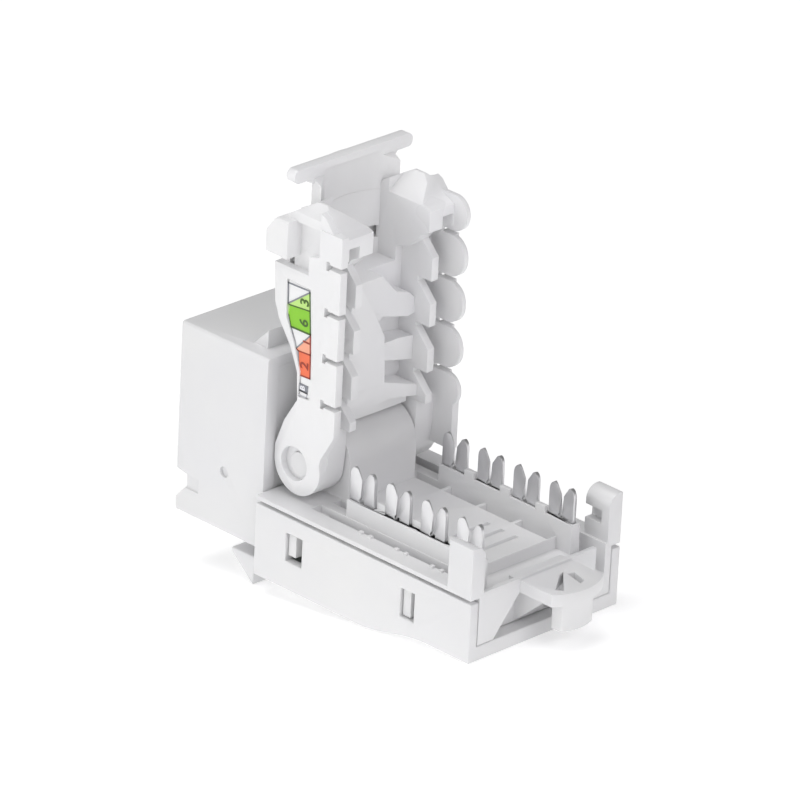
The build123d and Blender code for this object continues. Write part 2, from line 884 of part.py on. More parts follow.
with BuildPart() as wire_cap:
    wall_inner = cap_outer - cap_wall
    # Thick middle of the back
    core_back = [(y + cap_back_wall / 2, z) for y, z in cap_back_points[1:]]
    core_top = cap_back_points[-1][1]
    core_outline = core_back + [(core_front, core_top), (core_front, core_back[0][1])]
    slab(side_face(core_outline), -core_half_width, core_half_width)
    # Guide webs that lead the pairs to their slots, outlined across and up the cap
    web_side = fin_inner + web_overlap
    high_webs = [
        [(web_side, 24.0), (3.2, 24.0), (1.3, 20.6), (0.1, 18.3), (-0.15, 14.3), (web_side, 14.3)],
        [(web_side, 14.4), (-0.15, 14.4), (-web_side, 13.2), (-web_side, 12.3), (-0.7, 12.9)]
        + [(1.7, 12.5), (web_side, 12.2)],
    ]
    low_webs = [
        [(web_side, 24.2), (0.9, 24.2), (-0.5, 22.5), (-1.7, 21.3), (-3.0, 20.9), (-web_side, 20.2)]
        + [(-web_side, 19.0), (-3.0, 18.9), (-0.3, 19.6), (0.6, 18.8), (web_side, 18.8)],
        [(0.6, 17.3), (-2.2, 17.3), (-web_side, 17.1), (-web_side, 15.1), (-0.4, 15.9), (0.6, 15.9)],
        [(web_side, 12.6), (-3.3, 12.4), (-3.3, 11.7), (web_side, 11.7)],
    ]
    web_back = core_front - 2 * joint_gap
    for webs, front in ((high_webs, web_front), (low_webs, web_low_front)):
        with BuildSketch(Plane.XZ.offset(-front)):
            for outline in webs:
                with BuildLine():
                    Polyline(*outline, close=True)
                make_face()
        extrude(amount=front - web_back, dir=(0, -1, 0))
    # Inner combs: a sloped tooth between each two wire slots
    tooth_starts = [z + wire_slot / 2 for z in wire_zs]
    tooth_ends = [z - wire_slot / 2 for z in wire_zs]
    fin_face = saw_face([fin_bottom] + tooth_starts[:-1], tooth_ends, web_back)
    slab_pair(fin_face, fin_inner, fin_outer)
    # Back plate that follows the curve of the walls
    back_path = cap_back_points + [(cap_back_points[-1][0], head_bottom + 1)]
    plate_front = [(y + cap_back_wall, z) for y, z in back_path]
    slab(side_face(back_path + list(reversed(plate_front))), -wall_inner, wall_inner)
    # Windows in the back over the forks
    for z in wire_zs:
        brick_pair(
            fork_x - fork_clear,
            fork_x + fork_clear,
            (wing_back - joint_gap, ear_arm_front),
            (z - fork_half - swing_gap, z + fork_half + swing_gap),
            Mode.SUBTRACT,
        )
    # Side walls
    wall_outline = (
        [(hinge_y, hinge_z), wall_neck, wall_neck_end, (cap_front, wall_foot)]
        + [(cap_front, head_top), (window_front, head_top), (window_front, window_floor)]
        + [(window_back, window_step), (window_back, cap_back_points[-1][1])]
        + list(reversed(cap_back_points))
        + [(hinge_y - ear_radius, ear_back_top), (hinge_y - ear_radius, hinge_z)]
    )
    slab(wall_face(wall_outline, False), wall_inner, cap_outer)
    slab(wall_face(wall_outline, True), -cap_outer, -wall_inner)
    # Ears and the thick arms over them
    arm_reach = ear_arm_front - hinge_y
    arm_round = hinge_z + sqrt(ear_arm_radius**2 - arm_reach**2)
    arm_peak = (hinge_y + ear_arm_ahead, hinge_z + sqrt(ear_arm_radius**2 - ear_arm_ahead**2))
    arm_start = (hinge_y - ear_arm_behind, hinge_z + sqrt(ear_arm_radius**2 - ear_arm_behind**2))
    with BuildSketch(Plane.YZ, mode=Mode.PRIVATE) as arm_face:
        with BuildLine():
            ThreePointArc(arm_start, arm_peak, (ear_arm_front, arm_round))
            Polyline(
                (ear_arm_front, arm_round),
                (ear_arm_front, ear_arm_low),
                (hinge_y + ear_radius, hinge_z),
                (hinge_y - ear_radius, hinge_z),
                (hinge_y - ear_radius, ear_back_top),
                cap_back_points[0],
                arm_start,
            )
        make_face()
        with Locations((hinge_y, hinge_z)):
            Circle(ear_radius)
    slab_pair(arm_face.sketch, ear_inner, wall_inner)
    # Outer comb on the far wall
    slab(
        comb_face(
            [lobe_bottom] + tooth_starts,
            tooth_ends + [lobe_top],
            ear_arm_front - 1,
            lobe_root,
            lobe_front,
            lobe_round,
        ),
        -lobe_outer,
        -lobe_inner,
    )
    # Thick back of the head with its wings, and the floors of the side windows
    wing_outline = [
        (wing_back, head_bottom),
        (wing_back, wing_shoulder),
        (wing_corner, wing_top),
        (wing_front, wing_top),
        (wing_front, head_bottom),
    ]
    slab(side_face(wing_outline), -wing_outer, wing_outer)
    brick_pair(
        ridge_outer + joint_gap,
        wall_inner + fit_gap,
        (wing_front - joint_gap, window_front + joint_gap),
        (cap_back_points[-1][1], head_top - joint_gap),
    )
    # Trough that guides the cable, with the pull bar across its top
    with BuildSketch(Plane.XY.offset(wing_top - joint_gap)):
        with BuildLine():
            wall_middle = trough_middle - trough_wall
            wall_edge = trough_edge - trough_wall
            ThreePointArc((-trough_half, wall_edge), (0, wall_middle), (trough_half, wall_edge))
            Line((trough_half, wall_edge), (trough_half, trough_edge))
            ThreePointArc((trough_half, trough_edge), (0, trough_middle), (-trough_half, trough_edge))
            Line((-trough_half, trough_edge), (-trough_half, wall_edge))
        make_face()
    extrude(amount=trough_top - wing_top + joint_gap)
    with BuildSketch(Plane.XZ.offset(-bar_front)):
        with Locations((0, (bar_bottom + bar_top) / 2)):
            RectangleRounded(2 * bar_half, bar_top - bar_bottom, bar_round)
        with BuildLine():
            Polyline(
                (-trough_half - bar_round, bar_bottom + fit_gap),
                (-trough_half + fit_gap, bar_bottom - bar_round),
                (trough_half - fit_gap, bar_bottom - bar_round),
                (trough_half + bar_round, bar_bottom + fit_gap),
                close=True,
            )
        make_face()
    extrude(amount=bar_front - bar_back, dir=(0, -1, 0))
    trough_rise = trough_edge - trough_middle
    trough_radius = (trough_half**2 + trough_rise**2) / (2 * trough_rise)
    with Locations((0, trough_middle + trough_radius, shoulder_top - joint_gap)):
        Cylinder(
            trough_radius,
            trough_top - shoulder_top,
            align=(Align.CENTER, Align.CENTER, Align.MIN),
            mode=Mode.SUBTRACT,
        )
    bar_blend = [
        (bar_front, trough_top + joint_gap),
        (bar_front, bar_bottom + fit_gap),
        (trough_edge + joint_gap, bar_bottom - bar_round),
        (trough_edge + joint_gap, trough_top + joint_gap),
    ]
    slab(side_face(bar_blend), -bar_half, bar_half, Mode.SUBTRACT)
    # Arms on both sides of the cable, under domed shoulders
    arm_outline = [
        (wing_front - 0.6, 23.4),
        (14.0, 24.8),
        (14.7, 25.5),
        (15.0, 25.95),
        (cap_front, 26.4),
        (cap_front, 28.15),
        (15.2, 28.4),
        (14.85, 28.5),
        (13.9, 29.5),
        (13.0, shoulder_top),
        (12.0, shoulder_top - fit_gap),
        (10.7, 29.1),
        (wing_front - 0.6, 28.4),
    ]
    slab_pair(side_face(arm_outline), entry_half, wall_inner + fit_gap)
    shoulder_outline = [
        (wing_corner, wing_top - joint_gap),
        (10.7, 29.05),
        (12.0, shoulder_top - joint_gap),
        (13.0, shoulder_top - fit_gap),
        (13.9, 29.45),
        (14.8, 28.45),
        (14.8, 28.2),
    ]
    slab_pair(side_face(shoulder_outline), wall_inner - joint_gap, cap_outer - joint_gap)
    for side in (-1, 1):
        with BuildSketch(Plane.XZ.offset(-wing_back + joint_gap)):
            with BuildLine():
                Polyline(
                    (side * shoulder_half, shoulder_top),
                    (side * (wing_outer + joint_gap), wing_top - 0.2),
                    (side * (wing_outer + joint_gap), shoulder_top + joint_gap),
                    (side * shoulder_half, shoulder_top + joint_gap),
                    close=True,
                )
            make_face()
        extrude(amount=window_front - wing_back, dir=(0, 1, 0), mode=Mode.SUBTRACT)
        # Slope from the shoulder down towards the cable
        with BuildSketch(Plane.XZ.offset(-trough_edge - joint_gap)):
            with BuildLine():
                Polyline(
                    (side * (entry_half - joint_gap), funnel_low),
                    (side * funnel_half, shoulder_top - fit_gap),
                    (side * funnel_half, shoulder_top + joint_gap),
                    (side * (entry_half - joint_gap), shoulder_top + joint_gap),
                    close=True,
                )
            make_face()
        extrude(amount=lobe_front - trough_edge, dir=(0, 1, 0), mode=Mode.SUBTRACT)
    # Way for the cable between the arms
    entry_reach = sqrt(trough_radius**2 - entry_half**2)
    entry_middle = trough_middle + fit_gap
    entry_side = entry_middle + trough_radius - entry_reach
    with BuildSketch(Plane.XY.offset(entry_bottom)):
        with BuildLine():
            ThreePointArc((-entry_half, entry_side), (0, entry_middle), (entry_half, entry_side))
            Polyline(
                (entry_half, entry_side),
                (entry_half, lobe_front),
                (-entry_half, lobe_front),
                (-entry_half, entry_side),
            )
        make_face()
    extrude(amount=shoulder_top - entry_bottom + joint_gap, mode=Mode.SUBTRACT)
    # Room under the head for the last forks and the ends of their ridges
    ridge_reach = hinge_z + ridge_end - hinge_y + swing_gap
    fork_reach = hinge_y - (fork_top - hinge_z) - swing_gap
    brick_pair(
        ridge_inner - joint_gap,
        ridge_outer + joint_gap,
        (fork_reach, lobe_front),
        (cap_back_points[-1][1], ridge_reach),
        Mode.SUBTRACT,
    )
    # Hinge bores, with an eye on the outside of each ear
    for side in (-1, 1):
        with Locations(Plane((side * cap_outer, hinge_y, hinge_z), z_dir=(side, 0, 0))):
            Hole(pin_radius + fit_gap, cap_outer - ear_inner)
        eye_y = hinge_y - ear_counterbore_shift
        with Locations(Plane((side * cap_outer, eye_y, hinge_z), z_dir=(side, 0, 0))):
            Hole(ear_counterbore, ear_counterbore_depth)
    # Recesses for the labels
    with BuildSketch(Plane.YZ, mode=Mode.PRIVATE) as label_shape:
        with BuildLine():
            Polyline(*label_points, close=True)
        make_face()
    with BuildSketch(Plane.YZ, mode=Mode.PRIVATE) as label_pocket:
        with BuildLine():
            Polyline(*label_points, close=True)
        make_face()
        offset(amount=label_margin)
    slab_pair(label_pocket.sketch, cap_outer - label_recess, cap_outer, Mode.SUBTRACT)
wire_cap.part.label = "wire_cap"
export_step(wire_cap.part, "parts/wire_cap.step")


# Labels with the wiring code, one in each wall of the cap
for name, side in (("label_near", 1), ("label_far", -1)):
    with BuildPart() as label:
        back = cap_outer - label_recess
        slab(label_shape.sketch, side * back, side * (back + label_thick))
    label.part.label = name
    export_step(label.part, f"parts/{name}.step")
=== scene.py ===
# %% [markdown]
# # A keystone jack with its wire cap standing open
# The jack is about 37 mm long, so every size here is a millimetre value times one named unit. The packed
# model comes in first: it fixes where each piece is, and every piece made later rides on one of its bodies.

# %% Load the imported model
import bpy
import bmesh
from math import cos, pi, radians, sin, sqrt
from mathutils import Matrix, Vector


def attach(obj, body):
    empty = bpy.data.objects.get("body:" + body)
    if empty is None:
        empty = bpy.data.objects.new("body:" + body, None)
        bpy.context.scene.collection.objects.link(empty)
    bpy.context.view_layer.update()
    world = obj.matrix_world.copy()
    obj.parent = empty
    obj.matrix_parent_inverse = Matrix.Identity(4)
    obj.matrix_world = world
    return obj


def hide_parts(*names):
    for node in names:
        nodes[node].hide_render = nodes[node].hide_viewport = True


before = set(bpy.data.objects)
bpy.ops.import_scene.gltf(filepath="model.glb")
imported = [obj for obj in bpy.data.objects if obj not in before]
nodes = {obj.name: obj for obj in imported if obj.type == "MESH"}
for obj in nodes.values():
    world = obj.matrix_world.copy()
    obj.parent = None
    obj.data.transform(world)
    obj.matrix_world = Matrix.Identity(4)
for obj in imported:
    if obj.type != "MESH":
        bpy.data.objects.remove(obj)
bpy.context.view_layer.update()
MM = 0.001


# %% [markdown]
# ## Camera
# The photograph was taken from far away with a long lens, which keeps the edges nearly parallel. The place,
# the aim point, the tilt and the lens were found by fitting the corners of the jack. A camera can be turned
# with Euler angles, but a matrix built from three directions is easier to read: right, up and back.

# %% Camera at the photograph's angle
camera_place = Vector((387.866, 391.291, 260.071)) * MM
camera_aim = Vector((-1.781, 14.837, 12.520)) * MM
camera_roll = radians(2.863)
camera_lens = 351.3

camera_data = bpy.data.cameras.new("long_lens")
camera_data.sensor_width = 36
camera_data.lens = camera_lens
camera_data.clip_start = 0.01
camera_data.clip_end = 100
camera = bpy.data.objects.new("camera", camera_data)
back = (camera_place - camera_aim).normalized()
level_right = Vector((0, 0, 1)).cross(back).normalized()
level_up = back.cross(level_right)
right = level_right * cos(camera_roll) + level_up * sin(camera_roll)
up = back.cross(right)
turn = Matrix((right, up, back)).transposed().to_4x4()
camera.matrix_world = Matrix.Translation(camera_place) @ turn
bpy.context.scene.collection.objects.link(camera)
bpy.context.scene.camera = camera
print("camera looks along", -back)


# %% [markdown]
# ## Floor
# The jack doesn't lie flat: it rests on the tip of its panel latch and on the lower edge of its rear end. So
# the floor is a large pale plane through those two lines, a few degrees from level. It glows a little, as a
# sheet of acrylic on a light table does, which leaves only a trace of a shadow.

# %% Floor under the latch tip and the rear edge
tooth_tip = (8.54 * MM, -2.85 * MM)
rear_edge = (32.75 * MM, 0.0)
floor_gap = 0.02 * MM
floor_reach = 6.0
slope = (rear_edge[1] - tooth_tip[1]) / (rear_edge[0] - tooth_tip[0])


def floor_height(y):
    """Height of the floor at a distance y from the plug face."""
    return tooth_tip[1] + slope * (y - tooth_tip[0]) - floor_gap


corners = [
    (x, y, floor_height(y))
    for x, y in (
        (-floor_reach, -floor_reach),
        (floor_reach, -floor_reach),
        (floor_reach, floor_reach),
        (-floor_reach, floor_reach),
    )
]
floor_mesh = bpy.data.meshes.new("floor")
floor_mesh.from_pydata(corners, [], [(0, 1, 2, 3)])
floor = bpy.data.objects.new("floor", floor_mesh)
bpy.context.scene.collection.objects.link(floor)
print("floor slope", slope)


# %% [markdown]
# ## Light
# White plastic on white needs soft light that still tells one side from another. A white surround fills every
# shadow, and four large soft panels light the side with the label, the plug face, the top and the cable end.

# %% Surround and soft panels
world = bpy.data.worlds.new("studio")
bpy.context.scene.world = world
world.use_nodes = True
surround = world.node_tree.nodes["Background"]
surround.inputs["Color"].default_value = (1.0, 1.0, 1.0, 1)
surround.inputs["Strength"].default_value = 0.22
bpy.context.scene.view_settings.view_transform = "Standard"
object_middle = Vector((0, 16, 12)) * MM


def soft_panel(name, azimuth, elevation, distance, size, power, colour):
    """A square light that faces the jack from a compass direction and a height."""
    data = bpy.data.lights.new(name, "AREA")
    data.shape = "SQUARE"
    data.size = size
    data.energy = power
    data.color = colour
    panel = bpy.data.objects.new(name, data)
    direction = Vector(
        (
            sin(radians(azimuth)) * cos(radians(elevation)),
            -cos(radians(azimuth)) * cos(radians(elevation)),
            sin(radians(elevation)),
        )
    )
    panel.location = object_middle + direction * distance
    panel.rotation_euler = direction.to_track_quat("Z", "Y").to_euler()
    bpy.context.scene.collection.objects.link(panel)


soft_panel("side_panel", 88, 22, 0.6, 0.4, 0.75, (1.0, 1.0, 1.0))
soft_panel("rear_panel", 172, 35, 0.7, 0.5, 1.5, (0.98, 0.96, 1.0))
soft_panel("top_panel", 30, 75, 0.7, 0.5, 2.35, (1.0, 1.0, 1.0))
soft_panel("front_panel", 60, 10, 0.7, 0.5, 0.95, (1.0, 1.0, 1.0))
print("panels", [light.name for light in bpy.data.lights])


# %% [markdown]
# ## Materials
# Each finish is a small node tree with its colour set on the shader's own socket. Fine noise on Object
# coordinates gives the texture, because those coordinates stay with the mesh when a piece moves.

# %% Helpers for node trees
def new_material(name):
    """A material with an empty node tree, its shader and its output."""
    material = bpy.data.materials.new(name)
    material.use_nodes = True
    tree = material.node_tree
    return material, tree, tree.nodes["Principled BSDF"]


def add_node(tree, kind, **values):
    """A node with its settings and its sockets' values."""
    node = tree.nodes.new(kind)
    for key, value in values.items():
        if hasattr(node, key):
            setattr(node, key, value)
        else:
            node.inputs[key.replace("_", " ")].default_value = value
    return node


# %% [markdown]
# ### Moulded white plastic
# Such jacks are moulded in a slightly translucent white plastic. A little scattering under the surface makes
# thin edges glow and softens the recesses. Very fine noise varies the gloss and lifts the surface, as the
# tool's own finish does.

# %% Moulded white plastic
mottle_low, mottle_high = 0.985, 1.01
plastic_gloss_spread = 0.06
metal_gloss_spread = 0.08
grain_depth = 0.02 * MM
scatter_depth = 0.5 * MM


def coloured_plastic(name, colour, roughness):
    """A smooth plastic whose colour and gloss vary a little."""
    material, tree, shader = new_material(name)
    place = add_node(tree, "ShaderNodeTexCoord")
    fine = add_node(tree, "ShaderNodeTexNoise", Scale=2600.0, Detail=3.0, Roughness=0.6)
    broad = add_node(tree, "ShaderNodeTexNoise", Scale=170.0, Detail=2.0, Roughness=0.5)
    tree.links.new(place.outputs["Object"], fine.inputs["Vector"])
    tree.links.new(place.outputs["Object"], broad.inputs["Vector"])
    shade = add_node(tree, "ShaderNodeValToRGB")
    shade.color_ramp.elements[0].position = 0.3
    red, green, blue = colour
    shade.color_ramp.elements[0].color = (red * mottle_low, green * mottle_low, blue, 1)
    shade.color_ramp.elements[1].position = 0.7
    shade.color_ramp.elements[1].color = (red * mottle_high, green * mottle_high, blue * mottle_high, 1)
    tree.links.new(broad.outputs["Fac"], shade.inputs["Fac"])
    tree.links.new(shade.outputs["Color"], shader.inputs["Base Color"])
    gloss = add_node(tree, "ShaderNodeMapRange")
    gloss.inputs["To Min"].default_value = roughness - plastic_gloss_spread
    gloss.inputs["To Max"].default_value = roughness + plastic_gloss_spread
    tree.links.new(broad.outputs["Fac"], gloss.inputs["Value"])
    tree.links.new(gloss.outputs["Result"], shader.inputs["Roughness"])
    lift = add_node(tree, "ShaderNodeBump", Strength=0.12, Distance=grain_depth)
    tree.links.new(fine.outputs["Fac"], lift.inputs["Height"])
    tree.links.new(lift.outputs["Normal"], shader.inputs["Normal"])
    shader.inputs["Subsurface Weight"].default_value = 0.1
    shader.inputs["Subsurface Radius"].default_value = (1.0, 1.0, 1.0)
    shader.inputs["Subsurface Scale"].default_value = scatter_depth
    shader.inputs["IOR"].default_value = 1.49
    return material


housing_plastic = coloured_plastic("housing_plastic", (0.74, 0.74, 0.74), 0.38)
cap_plastic = coloured_plastic("cap_plastic", (0.80, 0.80, 0.80), 0.30)
print("plastics", housing_plastic.name, cap_plastic.name)


# %% [markdown]
# ### Metal, board and paper
# The forks are tinned sheet and the plug contacts are gilded wire, so both are metals with a little drawn
# grain in their gloss. The board is coated green, and the labels are white printed stock.

# %% Metal and board finishes
def plain_metal(name, colour, roughness):
    """A bare metal with a fine drawn grain in its gloss."""
    material, tree, shader = new_material(name)
    place = add_node(tree, "ShaderNodeTexCoord")
    drawn = add_node(tree, "ShaderNodeTexNoise", Scale=900.0, Detail=2.0, Roughness=0.5)
    tree.links.new(place.outputs["Object"], drawn.inputs["Vector"])
    gloss = add_node(tree, "ShaderNodeMapRange")
    gloss.inputs["To Min"].default_value = roughness - metal_gloss_spread
    gloss.inputs["To Max"].default_value = roughness + metal_gloss_spread
    tree.links.new(drawn.outputs["Fac"], gloss.inputs["Value"])
    tree.links.new(gloss.outputs["Result"], shader.inputs["Roughness"])
    lift = add_node(tree, "ShaderNodeBump", Strength=0.08, Distance=grain_depth)
    tree.links.new(drawn.outputs["Fac"], lift.inputs["Height"])
    tree.links.new(lift.outputs["Normal"], shader.inputs["Normal"])
    shader.inputs["Base Color"].default_value = (*colour, 1)
    shader.inputs["Metallic"].default_value = 1.0
    return material


fork_metal = plain_metal("fork_metal", (0.70, 0.70, 0.71), 0.34)
gold_wire = plain_metal("gold_wire", (0.86, 0.66, 0.30), 0.2)
board_coat = coloured_plastic("board_coat", (0.07, 0.28, 0.13), 0.4)
label_stock = coloured_plastic("label_stock", (0.85, 0.85, 0.85), 0.5)
floor_paint, _, floor_shader = new_material("floor_paint")
floor_shader.inputs["Base Color"].default_value = (0.92, 0.92, 0.92, 1)
floor_shader.inputs["Roughness"].default_value = 0.9
floor_shader.inputs["Emission Color"].default_value = (1, 1, 1, 1)
floor_shader.inputs["Emission Strength"].default_value = 0.35
floor.data.materials.append(floor_paint)
print(len(bpy.data.materials), "finishes so far")


# %% [markdown]
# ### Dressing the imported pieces
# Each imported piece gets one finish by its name. The four moulded parts and the forks are replaced by finer
# pieces later, but they are dressed here too, so nothing is ever left bare.

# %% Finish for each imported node
finishes = {
    "front_housing": housing_plastic,
    "contact_carrier": housing_plastic,
    "contact_block": housing_plastic,
    "lower_shell": housing_plastic,
    "wire_cap": cap_plastic,
    "circuit_board": board_coat,
    "label_near": label_stock,
    "label_far": label_stock,
}
for name, node in nodes.items():
    finish = finishes.get(name)
    if name.startswith("plug_contact"):
        finish = gold_wire
    if name.startswith("idc_contact"):
        finish = fork_metal
    node.data.materials.clear()
    node.data.materials.append(finish)
print("dressed", len(nodes), "nodes")


# %% [markdown]
# ## Moulded edges
# No moulded part has a knife edge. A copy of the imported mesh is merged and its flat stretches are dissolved
# into single faces, and then a Bevel modifier rounds every edge by about a tenth of a millimetre. The front
# housing takes less, because the pads on its sides are very shallow. The large flat faces are shaded flat, so
# the rounding doesn't shade them.

# %% Rounded copies of the moulded parts
flat_area = 20 * MM * MM
merge_distance = 0.001 * MM
flat_angle, edge_angle, smooth_angle = radians(1), radians(35), radians(30)


def moulded_copy(node_name, piece_name, body, material, radius):
    """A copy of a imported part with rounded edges, which then stands for it."""
    mesh = bmesh.new()
    mesh.from_mesh(nodes[node_name].data)
    bmesh.ops.remove_doubles(mesh, verts=mesh.verts, dist=merge_distance)
    bmesh.ops.dissolve_limit(
        mesh,
        angle_limit=flat_angle,
        verts=mesh.verts,
        edges=mesh.edges,
    )
    data = bpy.data.meshes.new(piece_name)
    mesh.to_mesh(data)
    mesh.free()
    piece = bpy.data.objects.new(piece_name, data)
    bpy.context.scene.collection.objects.link(piece)
    bevel = piece.modifiers.new("edges", "BEVEL")
    bevel.width = radius
    bevel.segments = 2
    bevel.limit_method = "ANGLE"
    bevel.angle_limit = edge_angle
    bevel.use_clamp_overlap = True
    view = bpy.context.evaluated_depsgraph_get()
    rounded = bpy.data.meshes.new_from_object(piece.evaluated_get(view))
    piece.modifiers.remove(bevel)
    piece.data = rounded
    rounded.materials.clear()
    rounded.materials.append(material)
    for face in rounded.polygons:
        face.use_smooth = face.area < flat_area
    rounded.set_sharp_from_angle(angle=smooth_angle)
    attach(piece, body)
    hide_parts(node_name)
    print(piece_name, len(rounded.vertices), "points", len(rounded.polygons), "faces")


edge_radius = 0.1 * MM
shallow_radius = 0.06 * MM
moulded_copy("front_housing", "plug_housing", "jack", housing_plastic, shallow_radius)
moulded_copy("contact_block", "terminal_block", "jack", housing_plastic, edge_radius)
moulded_copy("lower_shell", "rear_shell", "jack", housing_plastic, edge_radius)
moulded_copy("wire_cap", "hinged_cap", "cap", cap_plastic, edge_radius)


# %% [markdown]
# ## Slotted contacts
# Each contact is stamped from thin tinned sheet: two prongs with a slot between them that grips the wire, a
# round relief hole under the slot, and tips ground down to a thin edge on the inside. The blade is modelled
# once and a Geometry Nodes tree repeats it at an even pitch in two rows. Copying it eight times by hand would
# also work, but the rule keeps the pitch in one place.

# %% One slotted blade
fork_x = 4.95 * MM
fork_first = 18.0 * MM
fork_pitch = 3.8 * MM
blade_half_thick = 0.17 * MM
blade_low, blade_top = 6.2 * MM, 9.74 * MM
prong_outer, prong_tip = 1.29 * MM, 0.86 * MM
slot_half, hole_radius, hole_height = 0.13 * MM, 0.27 * MM, 7.15 * MM
mouth_height = 8.85 * MM
tip_inner, tip_drop = 0.62 * MM, 0.1 * MM
shoulder_drop, shoulder_steps = 0.75 * MM, 6
hole_arc_start, hole_arc_sweep, hole_arc_steps = 60, 150, 7
ground_half, ground_height, ground_share = 0.7 * MM, 8.6 * MM, 0.35
blade_edge = 0.03 * MM


def prong_outline(side):
    """One prong seen from the side, from its foot up the outside, over the tip and down the slot."""
    shoulder = blade_top - shoulder_drop
    outline = [(side * prong_outer, blade_low), (side * prong_outer, shoulder)]
    for step in range(1, shoulder_steps):
        turn_angle = pi / 2 * step / shoulder_steps
        outline.append(
            (
                side * (prong_tip + (prong_outer - prong_tip) * cos(turn_angle)),
                shoulder + shoulder_drop * sin(turn_angle),
            )
        )
    outline.append((side * prong_tip, blade_top))
    outline.append((side * tip_inner, blade_top - tip_drop))
    outline.append((side * slot_half, mouth_height))
    start = sqrt(hole_radius**2 - slot_half**2)
    outline.append((side * slot_half, hole_height + start))
    for step in range(1, hole_arc_steps + 1):
        turn_angle = radians(hole_arc_start - hole_arc_sweep * step / hole_arc_steps)
        outline.append(
            (side * hole_radius * cos(turn_angle), hole_height + hole_radius * sin(turn_angle))
        )
    outline.append((0.0, blade_low))
    return outline


def blade_mesh():
    """Both prongs as one thin sheet, with its inner tips ground thin."""
    mesh = bmesh.new()
    for side in (-1, 1):
        outline = prong_outline(side)
        layers = []
        for face_side in (-1, 1):
            row = []
            for y, z in outline:
                ground = abs(y) < ground_half and z > ground_height
                thick = blade_half_thick * (ground_share if ground else 1.0)
                row.append(mesh.verts.new((face_side * thick, y, z)))
            layers.append(row)
        mesh.faces.new(layers[0])
        mesh.faces.new(list(reversed(layers[1])))
        for i in range(len(outline)):
            j = (i + 1) % len(outline)
            mesh.faces.new((layers[0][i], layers[0][j], layers[1][j], layers[1][i]))
    bmesh.ops.remove_doubles(mesh, verts=mesh.verts, dist=merge_distance)
    bmesh.ops.triangulate(mesh, faces=[face for face in mesh.faces if len(face.verts) > 4])
    bmesh.ops.recalc_face_normals(mesh, faces=mesh.faces)
    data = bpy.data.meshes.new("blade")
    mesh.to_mesh(data)
    mesh.free()
    return data


# %% Tree that repeats the blade in two rows
def rows_tree(material):
    """A tree that lays a blade out along Y and mirrors the row to the other side."""
    tree = bpy.data.node_groups.new("blade_rows", "GeometryNodeTree")
    face = tree.interface
    face.new_socket("Geometry", in_out="INPUT", socket_type="NodeSocketGeometry")
    inputs = {}
    for name, kind in (
        ("Count", "NodeSocketInt"),
        ("Pitch", "NodeSocketFloat"),
        ("First", "NodeSocketFloat"),
        ("Row offset", "NodeSocketFloat"),
    ):
        inputs[name] = face.new_socket(name, in_out="INPUT", socket_type=kind).identifier
    face.new_socket("Geometry", in_out="OUTPUT", socket_type="NodeSocketGeometry")
    given = tree.nodes.new("NodeGroupInput")
    result = tree.nodes.new("NodeGroupOutput")
    join = tree.nodes.new("GeometryNodeJoinGeometry")
    for side in (-1, 1):
        line = tree.nodes.new("GeometryNodeMeshLine")
        start = tree.nodes.new("ShaderNodeCombineXYZ")
        step = tree.nodes.new("ShaderNodeCombineXYZ")
        across = tree.nodes.new("ShaderNodeMath")
        across.operation = "MULTIPLY"
        across.inputs[1].default_value = side
        tree.links.new(given.outputs["Row offset"], across.inputs[0])
        tree.links.new(across.outputs[0], start.inputs["X"])
        tree.links.new(given.outputs["First"], start.inputs["Y"])
        tree.links.new(given.outputs["Pitch"], step.inputs["Y"])
        tree.links.new(given.outputs["Count"], line.inputs["Count"])
        tree.links.new(start.outputs[0], line.inputs["Start Location"])
        tree.links.new(step.outputs[0], line.inputs["Offset"])
        copies = tree.nodes.new("GeometryNodeInstanceOnPoints")
        tree.links.new(line.outputs["Mesh"], copies.inputs["Points"])
        tree.links.new(given.outputs["Geometry"], copies.inputs["Instance"])
        tree.links.new(copies.outputs["Instances"], join.inputs["Geometry"])
    real = tree.nodes.new("GeometryNodeRealizeInstances")
    finish = tree.nodes.new("GeometryNodeSetMaterial")
    finish.inputs["Material"].default_value = material
    tree.links.new(join.outputs["Geometry"], real.inputs["Geometry"])
    tree.links.new(real.outputs["Geometry"], finish.inputs["Geometry"])
    tree.links.new(finish.outputs["Geometry"], result.inputs["Geometry"])
    return tree, inputs


# %% The two rows of blades on the jack
forks = bpy.data.objects.new("slotted_contacts", blade_mesh())
bpy.context.scene.collection.objects.link(forks)
rows, row_inputs = rows_tree(fork_metal)
modifier = forks.modifiers.new("rows", "NODES")
modifier.node_group = rows
modifier[row_inputs["Count"]] = 4
modifier[row_inputs["Pitch"]] = fork_pitch
modifier[row_inputs["First"]] = fork_first
modifier[row_inputs["Row offset"]] = fork_x
view = bpy.context.evaluated_depsgraph_get()
forks_mesh = bpy.data.meshes.new_from_object(forks.evaluated_get(view))
forks.modifiers.remove(modifier)
forks.data = forks_mesh
edge = forks.modifiers.new("edges", "BEVEL")
edge.width = blade_edge
edge.segments = 2
edge.limit_method = "ANGLE"
edge.angle_limit = radians(40)
view = bpy.context.evaluated_depsgraph_get()
forks_mesh = bpy.data.meshes.new_from_object(forks.evaluated_get(view))
forks.modifiers.remove(edge)
forks.data = forks_mesh
for face in forks_mesh.polygons:
    face.use_smooth = True
forks_mesh.set_sharp_from_angle(angle=smooth_angle)
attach(forks, "jack")
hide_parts(*[f"idc_contact_{i}" for i in range(1, 9)])
print("blades", len(forks_mesh.polygons), "faces")


# %% [markdown]
# ## Wiring code labels
# A small printed label lies in a recess on each side of the cap. Its cells show the pair colours: a solid
# colour for one wire and half white for its mate, with the contact's number in the cell. Every cell, line and
# digit is a thin sheet of ink, one to three hundredths of a millimetre above the label. An image could carry
# the print too, but drawn shapes stay sharp at any distance.

